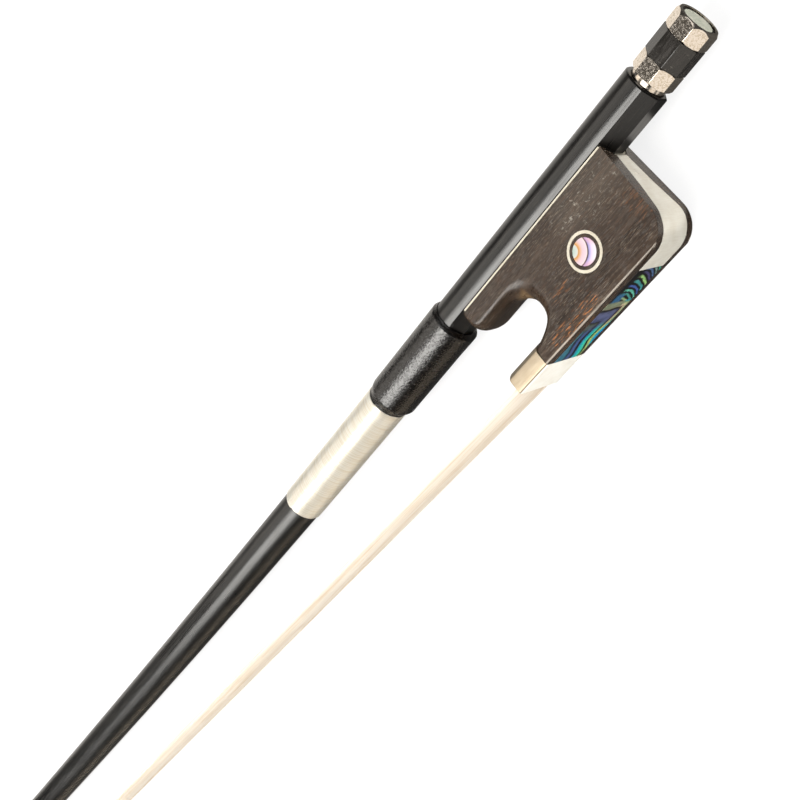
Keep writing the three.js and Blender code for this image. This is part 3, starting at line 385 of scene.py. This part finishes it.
def abalone():
    finish = Finish("abalone", Roughness=0.3, Specular_IOR_Level=0.15)
    along = finish.total(finish.place(X), -SHELL_START)
    up = finish.total(finish.place(Z), -AXIS_Z / MM)
    drift = finish.total(finish.noise(3.2, 2, 0.5), -0.5)
    ripple = finish.total(finish.noise(0.8, 2, 0.5, shift=(4, 4, 4)), -0.5)
    ink = (0.006, 0.005, 0.005)
    # Flames at the heel end, which turn towards the tip as they go down
    fall = finish.between(up, 3.2, -4.9, 0, 1, "LINEAR")
    slant = finish.total(along, finish.product(fall, fall, -3.4))
    slant = finish.total(slant, finish.product(drift, 1.6), finish.product(ripple, 0.5))
    slant = finish.product(slant, 0.82)
    step = finish.math("FRACT", slant)
    hue = finish.math("FRACT", finish.product(finish.math("FLOOR", slant), 0.382))
    flame = finish.ramp(
        hue,
        (0.0, (0.05, 0.045, 0.12)), (0.16, (0.04, 0.09, 0.3)), (0.34, (0.3, 0.42, 0.09)),
        (0.5, (0.1, 0.48, 0.3)), (0.64, (0.06, 0.06, 0.26)), (0.84, (0.03, 0.36, 0.24)),
        (1.0, (0.07, 0.05, 0.12)),
    )
    lit = finish.product(finish.between(step, 0.3, 0.55), finish.between(step, 1.0, 0.85))
    start = finish.between(finish.total(up, finish.product(drift, 4)), 3.2, 1.2)
    flame = finish.mix(finish.product(lit, start), ink, flame)
    spot = finish.product(finish.between(up, 0.0, 1.4), finish.between(up, 4.4, 3.4))
    spot = finish.product(spot, finish.between(along, 6.4, 7.6))
    flame = finish.mix(spot, flame, (0.025, 0.1, 0.2))
    # Layers that come down from the near edge and follow a wave to the ferrule end
    crest = finish.between(finish.math("ABSOLUTE", finish.total(along, -20.5)), 6.5, 0.0)
    end = finish.between(along, 21, 27)
    wave = finish.total(finish.product(crest, 1.5), finish.product(end, -0.8), -3.8)
    height = finish.math("MINIMUM", finish.total(up, finish.product(wave, -1)), finish.total(along, -11.3))
    height = finish.total(height, finish.product(drift, 0.9), finish.product(ripple, 0.35))
    share = finish.between(height, -2.0, 8.0, 0, 1, "LINEAR")
    calm = finish.ramp(
        share,
        (0.0, (0.01, 0.16, 0.3)), (0.04, (0.02, 0.26, 0.34)), (0.09, (0.12, 0.24, 0.13)),
        (0.16, (0.4, 0.38, 0.2)), (0.2, (0.5, 0.38, 0.26)), (0.235, ink), (0.275, ink),
        (0.32, (0.075, 0.08, 0.15)), (0.44, (0.085, 0.1, 0.2)), (0.58, (0.05, 0.06, 0.13)), (0.62, ink),
        (0.68, (0.07, 0.085, 0.06)), (0.8, (0.1, 0.12, 0.085)), (0.9, ink),
    )
    bright = finish.ramp(
        share,
        (0.0, (0.0, 0.16, 0.4)), (0.06, (0.0, 0.38, 0.5)), (0.1, (0.06, 0.34, 0.3)),
        (0.15, (0.36, 0.44, 0.09)), (0.2, (0.3, 0.42, 0.14)), (0.23, ink), (0.27, ink),
        (0.31, (0.05, 0.42, 0.24)), (0.4, (0.0, 0.42, 0.4)), (0.5, (0.02, 0.18, 0.3)), (0.54, ink),
        (0.62, (0.02, 0.015, 0.03)), (0.68, (0.04, 0.1, 0.26)), (0.76, (0.05, 0.07, 0.18)), (0.82, ink),
        (0.9, (0.03, 0.14, 0.2)),
    )
    layers = finish.mix(finish.between(along, 15.5, 19.5), calm, bright)
    upright = finish.product(finish.between(along, 12.2, 11.4), finish.between(up, -3.2, -1.6))
    layers = finish.mix(finish.product(upright, finish.between(share, 0.24, 0.2)), layers, (0.17, 0.19, 0.12))
    shine = finish.mix(finish.between(along, 9.3, 9.8), flame, layers)
    glint = finish.noise(0.5, 3, 0.6, stretch=(1, 1, 0.3), shift=(2, 2, 2))
    glint = finish.between(glint, 0.3, 0.7, 0.8, 1.3, "LINEAR")
    finish.set(Base_Color=finish.mix(1.0, shine, glint, "MULTIPLY"))
    return finish.material


EYE_SHADE = (0.68, 0.62, 0.64)


def shaded(color):
    return tuple(part * shade for part, shade in zip(color, EYE_SHADE))


def eye_shell():
    finish = Finish("eye_shell", Roughness=0.22, Specular_IOR_Level=0.35)
    along = finish.total(finish.place(X), -EYE_X / MM)
    down = finish.total(finish.place(Y), -EYE_Y / MM)
    drift = finish.total(finish.noise(2.5, 2), -0.5)
    # Growth lines are arcs round a point outside the disc
    u = finish.total(along, -2.07)
    v = finish.total(down, 2.1)
    radius = finish.math("SQRT", finish.total(finish.product(u, u), finish.product(v, v)))
    radius = finish.total(radius, finish.product(drift, 0.3))
    tone = finish.between(radius, 0.5, 6.5, 0, 1, "LINEAR")
    tones = (
        (0.0, (0.5, 0.66, 0.56)), (0.12, (0.62, 0.72, 0.64)), (0.155, (0.72, 0.6, 0.42)),
        (0.175, (0.5, 0.27, 0.06)), (0.2, (0.68, 0.38, 0.12)), (0.26, (0.72, 0.5, 0.36)),
        (0.34, (0.72, 0.6, 0.64)), (0.45, (0.78, 0.66, 0.7)), (0.5, (0.86, 0.76, 0.74)),
        (0.525, (0.05, 0.03, 0.02)), (0.55, (0.05, 0.035, 0.05)), (0.575, (0.34, 0.34, 0.62)),
        (0.62, (0.5, 0.48, 0.78)), (0.7, (0.8, 0.72, 0.84)), (0.84, (0.86, 0.84, 0.86)),
        (0.95, (0.88, 0.78, 0.82)), (1.0, (0.8, 0.56, 0.66)),
    )
    color = finish.ramp(tone, *((place, shaded(color)) for place, color in tones))
    pink = finish.between(finish.math("ABSOLUTE", finish.total(along, down)), 1.6, 3.6)
    color = finish.mix(finish.product(pink, finish.between(tone, 0.5, 0.6), 0.55), color, (0.5, 0.25, 0.32))
    finish.set(Base_Color=color)
    return finish.material


def pale_shell():
    finish = Finish("pale_shell", Roughness=0.24, Specular_IOR_Level=0.4)
    cloud = finish.noise(1.6, 3, 0.55, stretch=(1, 0.5, 1))
    streak = finish.noise(0.3, 3, 0.6, stretch=(1, 1, 0.12), turn=(0.7, 0, 0))
    tone = finish.total(finish.product(cloud, 0.6), finish.product(streak, 0.4))
    dark, middle, light = (0.5, 0.53, 0.42), (0.62, 0.63, 0.52), (0.72, 0.69, 0.57)
    finish.set(Base_Color=finish.ramp(tone, (0.36, dark), (0.5, middle), (0.64, light)))
    return finish.material


def plain_metal(name, color, roughness):
    finish = Finish(name, Metallic=1.0)
    scratch = finish.noise(0.3, 3, stretch=(1, 0.2, 0.2))
    dark = tuple(0.8 * c for c in color)
    finish.set(Base_Color=finish.ramp(scratch, (0.35, dark), (0.65, color)), Roughness=roughness)
    finish.bump(scratch, 0.01 * MM)
    return finish.material


def maple():
    finish = Finish("maple", Roughness=0.6)
    grain = finish.noise(0.5, 4, 0.6, stretch=(0.1, 1, 1))
    finish.set(Base_Color=finish.ramp(grain, (0.35, (0.42, 0.27, 0.13)), (0.65, (0.6, 0.42, 0.23))))
    finish.bump(grain, 0.02 * MM)
    return finish.material


def bone():
    finish = Finish("bone", Roughness=0.4)
    grain = finish.noise(0.8, 4, 0.55, stretch=(0.2, 1, 1))
    finish.set(Base_Color=finish.ramp(grain, (0.3, (0.66, 0.58, 0.43)), (0.65, (0.82, 0.76, 0.63))))
    finish.bump(grain, 0.01 * MM)
    return finish.material


# Mesh pieces
def new_piece(name, mesh, material):
    piece = bpy.data.objects.new(name, mesh)
    bpy.context.scene.collection.objects.link(piece)
    mesh.materials.clear()
    mesh.materials.append(material)
    for face in mesh.polygons:
        face.use_smooth = True
    return piece


def applied(piece):
    """Turns the piece's modifiers into its mesh."""
    bpy.context.view_layer.update()
    shaped = piece.evaluated_get(bpy.context.evaluated_depsgraph_get())
    mesh = bpy.data.meshes.new_from_object(shaped)
    piece.modifiers.clear()
    piece.data = mesh
    return piece


FOOT_CHAMFER = 0.548 * MM
FOOT_DROP = 0.1 * MM
FOOT_MARGIN = 0.1 * MM
LEVEL_MARGIN = 0.02 * MM
BOTTOM_MARGIN = 0.005 * MM


def flattened_foot(shape):
    """Brings the frog's low chamfers along the slide nearly level with the slide."""
    foot = max(vert.co.y for vert in shape.verts)
    start = foot - FOOT_CHAMFER
    half = max(abs(vert.co.z - AXIS_Z) for vert in shape.verts)
    for vert in shape.verts:
        side = vert.co.z - AXIS_Z
        on_chamfer = start + LEVEL_MARGIN < vert.co.y < foot - BOTTOM_MARGIN
        at_start = abs(vert.co.y - start) < LEVEL_MARGIN and vert.co.x > FERRULE_BACK - FOOT_MARGIN
        if on_chamfer and abs(side) > SLIDE_HALF + FOOT_MARGIN:
            vert.co.z = AXIS_Z + math.copysign(half, side)
        elif at_start and abs(side) > half - FOOT_MARGIN:
            vert.co.y = foot - FOOT_DROP


RUBBED_WIDTH = 0.6 * MM
RUBBED_START = low("frog_block", Y) + 2 * MM
RUBBED_ANGLE = math.radians(40)
CHEEK_NORMAL = 0.97
CHEEK_HALF = 5.6 * MM


def rubbed_edges(shape):
    """Rounds the outline of the frog's cheeks, from the heel to the ferrule, more than the other edges."""
    edges = []
    for edge in shape.edges:
        if len(edge.link_faces) != 2 or edge.calc_face_angle() < RUBBED_ANGLE:
            continue
        cheek = max(abs(face.normal.z) for face in edge.link_faces) > CHEEK_NORMAL
        outside = min(abs(vert.co.z - AXIS_Z) for vert in edge.verts) > CHEEK_HALF
        behind = max(vert.co.x for vert in edge.verts) < FERRULE_BACK + FOOT_MARGIN
        low_down = max(vert.co.y for vert in edge.verts) > RUBBED_START
        if cheek and outside and behind and low_down:
            edges.append(edge)
    bmesh.ops.bevel(shape, geom=edges, offset=RUBBED_WIDTH, segments=5, profile=0.5, affect="EDGES",
                    clamp_overlap=True)


WELD_REACH = 0.002 * MM
BEVEL_SEGMENTS = 2
NORMAL_WEIGHT = 50


def softened(node, name, material, width, angle=26, flat=0.6, reshape=None, round_off=None):
    """A node's twin whose sharp edges are rounded, while its flat faces stay flat. Angles are in degrees."""
    mesh = nodes[node].data.copy()
    shape = bmesh.new()
    shape.from_mesh(mesh)
    bmesh.ops.remove_doubles(shape, verts=shape.verts, dist=WELD_REACH)
    if reshape:
        reshape(shape)
    bmesh.ops.dissolve_limit(shape, angle_limit=math.radians(flat), verts=shape.verts, edges=shape.edges)
    if round_off:
        round_off(shape)
    shape.to_mesh(mesh)
    shape.free()
    piece = new_piece(name, mesh, material)
    bevel = piece.modifiers.new("bevel", "BEVEL")
    bevel.width = width
    bevel.segments = BEVEL_SEGMENTS
    bevel.limit_method = "ANGLE"
    bevel.angle_limit = math.radians(angle)
    bevel.use_clamp_overlap = True
    weights = piece.modifiers.new("weights", "WEIGHTED_NORMAL")
    weights.mode = "FACE_AREA"
    weights.weight = NORMAL_WEIGHT
    applied(piece)
    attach(piece, body_of(node))
    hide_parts(node)
    return piece


def body_of(node):
    groups = frame["record"]["behaviour"]["bodies"]
    return next(body for body, members in groups.items() if node in members)


def tube_mesh(name, rings, closed_ends=True):
    """A skin over rings of points of equal count."""
    count = len(rings[0])
    points = [point for ring in rings for point in ring]
    faces = []
    for i in range(len(rings) - 1):
        for j in range(count):
            k = (j + 1) % count
            faces.append((i * count + j, i * count + k, (i + 1) * count + k, (i + 1) * count + j))
    if closed_ends:
        faces.append(tuple(reversed(range(count))))
        faces.append(tuple(range(len(points) - count, len(points))))
    mesh = bpy.data.meshes.new(name)
    mesh.from_pydata(points, [], faces)
    shape = bmesh.new()
    shape.from_mesh(mesh)
    bmesh.ops.recalc_face_normals(shape, faces=shape.faces)
    shape.to_mesh(mesh)
    shape.free()
    return mesh


# Winding
WIRE_PITCH = 0.26 * MM
WIRE_RADIUS = 0.13 * MM
WIRE_GAP = 0.03 * MM
WIRE_STEPS = 36
WIRE_SIDES = 6


def make_winding(material):
    start = low("winding", X)
    end = high("winding", X)
    turns = int((end - start - 2 * WIRE_RADIUS) / WIRE_PITCH)
    rings = []
    for i in range(turns * WIRE_STEPS + 1):
        angle = 2 * math.pi * i / WIRE_STEPS
        x = start + WIRE_RADIUS + WIRE_PITCH * i / WIRE_STEPS
        radius = HANDLE_RADIUS + WIRE_GAP + WIRE_RADIUS
        out = Vector((0, math.sin(angle), math.cos(angle)))
        centre = Vector((x, axis_y(x), AXIS_Z)) + radius * out
        ring = []
        for j in range(WIRE_SIDES):
            turn = 2 * math.pi * j / WIRE_SIDES
            ring.append(centre + WIRE_RADIUS * (math.cos(turn) * out + math.sin(turn) * Vector((1, 0, 0))))
        rings.append(ring)
    piece = new_piece("winding_wire", tube_mesh("winding_wire", rings), material)
    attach(piece, "stick")
    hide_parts("winding")


# Grip
GRIP_SIDES = 128
GRIP_STEP = 0.22 * MM
PEBBLE_SIZE = 0.5 * MM
PEBBLE_HEIGHT = 0.022 * MM
GRIP_BORE = HANDLE_RADIUS + 0.05 * MM
GRIP_RADIUS = 5.62 * MM
GRIP_EDGE = 0.12 * MM
GRIP_LIP = 0.09 * MM
GRIP_PAD = 0.3 * MM
GRIP_RISE = 0.9 * MM
GRIP_SWELL = (7 * MM, 2 * MM)
GRIP_SKIVE = 2.6 * MM


def make_grip(material):
    start = low("grip_leather", X)
    end = high("grip_leather", X)
    count = int((end - start) / GRIP_STEP)
    rings = []
    for i in range(count + 1):
        x = start + (end - start) * i / count
        rise = smooth(share_between(x, start, start + GRIP_RISE))
        swell = smooth(share_between(x, start + GRIP_SWELL[0], start + GRIP_SWELL[1]))
        skive = smooth(share_between(x, end, end - GRIP_SKIVE))
        ring = []
        for j in range(GRIP_SIDES):
            angle = 2 * math.pi * j / GRIP_SIDES
            bead = GRIP_LIP * (0.6 + 0.4 * math.sin(angle))
            thickness = (GRIP_RADIUS - GRIP_BORE - GRIP_EDGE) * rise * skive + bead * swell * rise + GRIP_EDGE
            out = Vector((0, math.sin(angle), math.cos(angle)))
            spot = Vector((x, GRIP_BORE * out.y, GRIP_BORE * out.z)) / PEBBLE_SIZE
            cells = noise.voronoi(spot)[0]
            pebble = PEBBLE_HEIGHT * (cells[1] - cells[0] - 0.3) * min(rise, skive)
            bulk = GRIP_PAD * (1 + math.sin(angle)) * rise * skive
            ring.append(Vector((x, axis_y(x), AXIS_Z)) + (GRIP_BORE + thickness + bulk + pebble) * out)
        rings.append(ring)
    for x in (end, start):
        inside = []
        for j in range(GRIP_SIDES):
            angle = 2 * math.pi * j / GRIP_SIDES
            out = Vector((0, math.sin(angle), math.cos(angle)))
            inside.append(Vector((x, axis_y(x), AXIS_Z)) + GRIP_BORE * out)
        rings.append(inside)
    rings.append(rings[0])
    piece = new_piece("grip_sleeve", tube_mesh("grip_sleeve", rings, False), material)
    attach(piece, "stick")
    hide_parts("grip_leather")


# Hair: strands in layers, from inside the ferrule to the head's mortise
HAIR_COUNT = 330
HAIR_RADIUS = 0.13 * MM
HAIR_STEPS = 44
HAIR_SIDES = 4
HAIR_WANDER = 0.012 * MM
HAIR_WAVE = 60 * MM
HAIR_HOLD = 30 * MM
HAIR_FALL = 0.5
HAIR_WIDTH = 12.9 * MM
HAIR_THICKNESS = 1.2 * MM
HAIR_HEAD_WIDTH = 7.0 * MM
HAIR_HEAD_THICKNESS = 0.9 * MM
HAIR_MOUTH_Y = high("ferrule", Y) - 0.6 * MM - 0.05 * MM - HAIR_THICKNESS / 2
HAIR_HEAD_X = high("hair_ribbon", X) - 3.0 * MM
HAIR_HEAD_Y = high("head_plate", Y) + 0.35 * MM
CORE_SIDE_INSET = 0.1 * MM
CORE_FACE_INSET = 0.06 * MM
CORE_SECTION = ((-1, -0.4), (-0.9, -1), (0.9, -1), (1, -0.4), (1, 0.4), (0.9, 1), (-0.9, 1), (-1, 0.4))


def make_hair(material, core_material):
    start, end = low("hair_ribbon", X), high("hair_ribbon", X)
    mouth = Vector((high("ferrule", X), HAIR_MOUTH_Y, AXIS_Z))
    head = Vector((HAIR_HEAD_X, HAIR_HEAD_Y, AXIS_Z))
    draw = random.Random(7)

    def centre(x):
        share = (x - mouth.x) / (head.x - mouth.x)
        return mouth.y + (head.y - mouth.y) * max(0.0, share)

    def width(x):
        share = share_between(x, mouth.x, head.x)
        return HAIR_WIDTH + (HAIR_HEAD_WIDTH - HAIR_WIDTH) * share ** 3

    def thickness(x):
        share = share_between(x, mouth.x, head.x)
        return HAIR_THICKNESS + (HAIR_HEAD_THICKNESS - HAIR_THICKNESS) * share

    points, faces = [], []
    for k in range(HAIR_COUNT):
        across = (k + 0.5) / HAIR_COUNT - 0.5 + draw.uniform(-0.012, 0.012)
        depth = draw.uniform(-0.5, 0.5)
        seed = draw.uniform(0, 1000)
        radius = HAIR_RADIUS * draw.uniform(0.75, 1.1)
        for i in range(HAIR_STEPS + 1):
            x = start + (end - start) * i / HAIR_STEPS
            along = x / HAIR_WAVE
            wave = noise.noise(Vector((along, seed, 0.3)))
            rise = noise.noise(Vector((along * 1.3, seed, 7.1)))
            held = smooth(share_between(x, mouth.x - 1 * MM, mouth.x + HAIR_HOLD))
            held *= smooth(share_between(x, head.x, head.x - HAIR_HOLD))
            z = AXIS_Z + across * (width(x) - 2 * radius) + HAIR_WANDER * wave * held
            y = centre(x) + depth * (thickness(x) - 2 * radius) + 0.5 * HAIR_WANDER * rise * held
            if x > head.x:
                y -= (x - head.x) * HAIR_FALL
            first = len(points)
            for j in range(HAIR_SIDES):
                turn = 2 * math.pi * (j + 0.5) / HAIR_SIDES
                points.append((x, y + radius * math.sin(turn), z + radius * math.cos(turn)))
            if i:
                before = first - HAIR_SIDES
                for j in range(HAIR_SIDES):
                    n = (j + 1) % HAIR_SIDES
                    faces.append((before + j, before + n, first + n, first + j))
    mesh = bpy.data.meshes.new("hair_strands")
    mesh.from_pydata(points, [], faces)
    strands = new_piece("hair_strands", mesh, material)
    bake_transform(strands)
    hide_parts("hair_ribbon")

    rings = []
    for i in range(HAIR_STEPS + 1):
        x = start + (end - start) * i / HAIR_STEPS
        ring = []
        half_width = width(x) / 2 - CORE_SIDE_INSET
        half_depth = thickness(x) / 2 - CORE_FACE_INSET
        y = centre(x) - max(0.0, x - head.x) * HAIR_FALL
        for u, v in CORE_SECTION:
            ring.append((x, y + v * half_depth, AXIS_Z + u * half_width))
        rings.append(ring)
    core = new_piece("hair_core", tube_mesh("hair_core", rings), core_material)
    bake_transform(core)


# Floor, world and lights; a glow or grey of 1 is white
FLOOR_REACH = 4.0
FLOOR_DROP = 0.05 * MM
FLOOR_GLOW = 0.81
FLOOR_SHADE = 0.21
FLOOR_MIRRORED = 0.95
WORLD_GREY = 0.62
WORLD_MIRRORED = 0.06
OBJECT_MIDDLE = Vector((-0.28, 0.01, 0.005))


def make_floor():
    mesh = bpy.data.meshes.new("floor")
    r = FLOOR_REACH
    mesh.from_pydata([(-r, -r, 0), (r, -r, 0), (r, r, 0), (-r, r, 0)], [], [(0, 1, 2, 3)])
    floor = bpy.data.objects.new("floor", mesh)
    bpy.context.scene.collection.objects.link(floor)
    floor.location.z = -FLOOR_DROP
    finish = Finish("floor", Roughness=0.9, Specular_IOR_Level=0.0)
    rays = finish.node("LightPath")
    camera, glossy = rays.outputs["Is Camera Ray"], rays.outputs["Is Glossy Ray"]
    grain = finish.noise(40, 2)
    plain = finish.ramp(grain, (0.3, (0.78, 0.78, 0.78)), (0.7, (0.8, 0.8, 0.8)))
    # Mirrored light comes from the floor behind the stick and behind the frog's heel only
    x, y, heel = finish.place(X), finish.place(Y), HEEL_BACK / MM
    past_button = finish.between(x, BUTTON_END / MM - 1.2, BUTTON_END / MM - 0.2)
    behind_stick = finish.product(finish.between(y, 5, -3), past_button)
    behind_heel = finish.between(x, heel - 0.1, heel - 0.9)
    behind_heel = finish.product(behind_heel, finish.between(x, heel - 7.2, heel - 6.2))
    mirrored = finish.math("MAXIMUM", behind_stick, behind_heel)
    mirrored = finish.total(finish.product(mirrored, FLOOR_MIRRORED), 0.03)
    plain = finish.mix(glossy, plain, (0.05, 0.05, 0.05))
    finish.set(Base_Color=finish.mix(camera, plain, (FLOOR_SHADE, FLOOR_SHADE, FLOOR_SHADE)))
    glow = finish.total(finish.product(camera, FLOOR_GLOW), finish.product(glossy, mirrored))
    finish.set(Emission_Color=finish.mix(glossy, (1, 1, 1), (1, 0.95, 0.88)), Emission_Strength=glow)
    mesh.materials.append(finish.material)


def make_world():
    world = bpy.data.worlds.new("world")
    bpy.context.scene.world = world
    world.use_nodes = True
    tree = world.node_tree
    background = tree.nodes["Background"]
    rays = tree.nodes.new("ShaderNodeLightPath")
    color = None
    for ray, grey in ((None, WORLD_GREY), ("Is Glossy Ray", WORLD_MIRRORED), ("Is Camera Ray", 1.0)):
        mix = tree.nodes.new("ShaderNodeMix")
        mix.data_type = "RGBA"
        mix.inputs[7].default_value = (grey, grey, grey, 1)
        if ray:
            tree.links.new(rays.outputs[ray], mix.inputs[0])
            tree.links.new(color, mix.inputs[6])
        else:
            mix.inputs[0].default_value = 1.0
        color = mix.outputs[2]
    tree.links.new(color, background.inputs["Color"])
    background.inputs["Strength"].default_value = 1.0


def make_light(name, direction, distance, size, radiance, color=(1, 1, 1), middle=None):
    """An area light that faces the object, with its first side along the handle."""
    data = bpy.data.lights.new(name, "AREA")
    data.shape = "RECTANGLE"
    data.size, data.size_y = size
    data.energy = math.pi * size[0] * size[1] * radiance
    data.color = color
    light = bpy.data.objects.new(name, data)
    out = Vector(direction).normalized()
    up = out.cross(Vector((1, 0, 0))).normalized()
    turn = Matrix((up.cross(out), up, out)).transposed()
    light.matrix_world = Matrix.Translation((middle or OBJECT_MIDDLE) + out * distance) @ turn.to_4x4()
    light.visible_camera = False
    bpy.context.scene.collection.objects.link(light)


def make_lights():
    button = Vector((BUTTON_END + 7 * MM, AXIS_Y, AXIS_Z))
    make_light("key", (0.5, 0.13, 0.86), 1.1, (0.95, 0.64), 9.2, (1, 0.98, 0.94))
    make_light("left", (0.45, -0.62, 0.65), 1.2, (1.1, 0.6), 1.5, (1, 0.94, 0.86))
    make_light("card", (0.27, 0.91, 0.31), 0.26, (0.1, 0.14), 1.15, (1, 0.94, 0.86), button)
    make_light("fill", (-0.5, -0.2, 0.9), 1.3, (1.0, 1.0), 1.2)


bpy.context.scene.view_settings.view_transform = "Standard"

make_camera()
make_floor()
make_world()
make_lights()

LACQUER = black_lacquer()
EBONY = ebony()
NICKEL = nickel_silver("nickel_silver", (0.79, 0.74, 0.63), (0.91, 0.88, 0.78), 0.35, 0.36, (1, 1, 0.04))
EDGE_NICKEL = nickel_silver("edge_nickel", (0.5, 0.455, 0.36), (0.6, 0.56, 0.465), 0.45, 0.36, (0.3, 1, 1))
TAN_NICKEL = nickel_silver(
    "tan_nickel", (0.4, 0.325, 0.23), (0.46, 0.385, 0.28), 0.75, 0.3, (0.05, 1, 1), painted_foot_reflection=True,
)
BUTTON_SILVER = button_silver()
CAD_FINISHES = {
    "head_liner": EBONY,
    "head_plate": bone(),
    "head_plug": maple(),
    "head_hair_knot": horsehair("knot_hair", (0.3, 0.2, 0.1), (0.55, 0.42, 0.26)),
    "groove_lining": EDGE_NICKEL,
    "lining_pin_back": EDGE_NICKEL,
    "lining_pin_front": EDGE_NICKEL,
    "heel_plate_pin": NICKEL,
    "slide_shell": abalone(),
    "slide_backing": EBONY,
    "eye_shell_near": eye_shell(),
    "eyelet": plain_metal("brass", (0.6, 0.42, 0.17), 0.3),
    "button_shell": pale_shell(),
    "adjuster_screw": plain_metal("steel", (0.5, 0.49, 0.48), 0.3),
}
CAD_FINISHES["eye_shell_far"] = CAD_FINISHES["eye_shell_near"]
CAD_FINISHES["frog_plug"] = CAD_FINISHES["head_plug"]
CAD_FINISHES["spread_wedge"] = CAD_FINISHES["head_plug"]
CAD_FINISHES["frog_hair_knot"] = CAD_FINISHES["head_hair_knot"]
for node, material in CAD_FINISHES.items():
    nodes[node].data.materials.clear()
    nodes[node].data.materials.append(material)

softened("stick", "stick_wood", LACQUER, 0.15 * MM, angle=20, flat=0.05)
softened("frog_block", "frog_wood", EBONY, 0.08 * MM, reshape=flattened_foot, round_off=rubbed_edges)
softened("heel_plate", "heel_strip", NICKEL, 0.06 * MM)
softened("ferrule", "ferrule_ring", TAN_NICKEL, 0.1 * MM)
softened("eye_ring_near", "eye_circle_near", EDGE_NICKEL, 0.05 * MM)
softened("eye_ring_far", "eye_circle_far", EDGE_NICKEL, 0.05 * MM)
softened("button_ring_inner", "button_band_inner", BUTTON_SILVER, 0.09 * MM)
softened("button_ring_outer", "button_band_outer", BUTTON_SILVER, 0.09 * MM)
softened("button_core", "button_wood", button_ebony(), 0.07 * MM)
make_winding(silver_wire())
make_grip(black_leather())
make_hair(
    horsehair("horsehair", (0.72, 0.58, 0.42), (0.81, 0.73, 0.62)),
    horsehair("horsehair_core", (0.72, 0.58, 0.42), (0.81, 0.73, 0.62)),
)
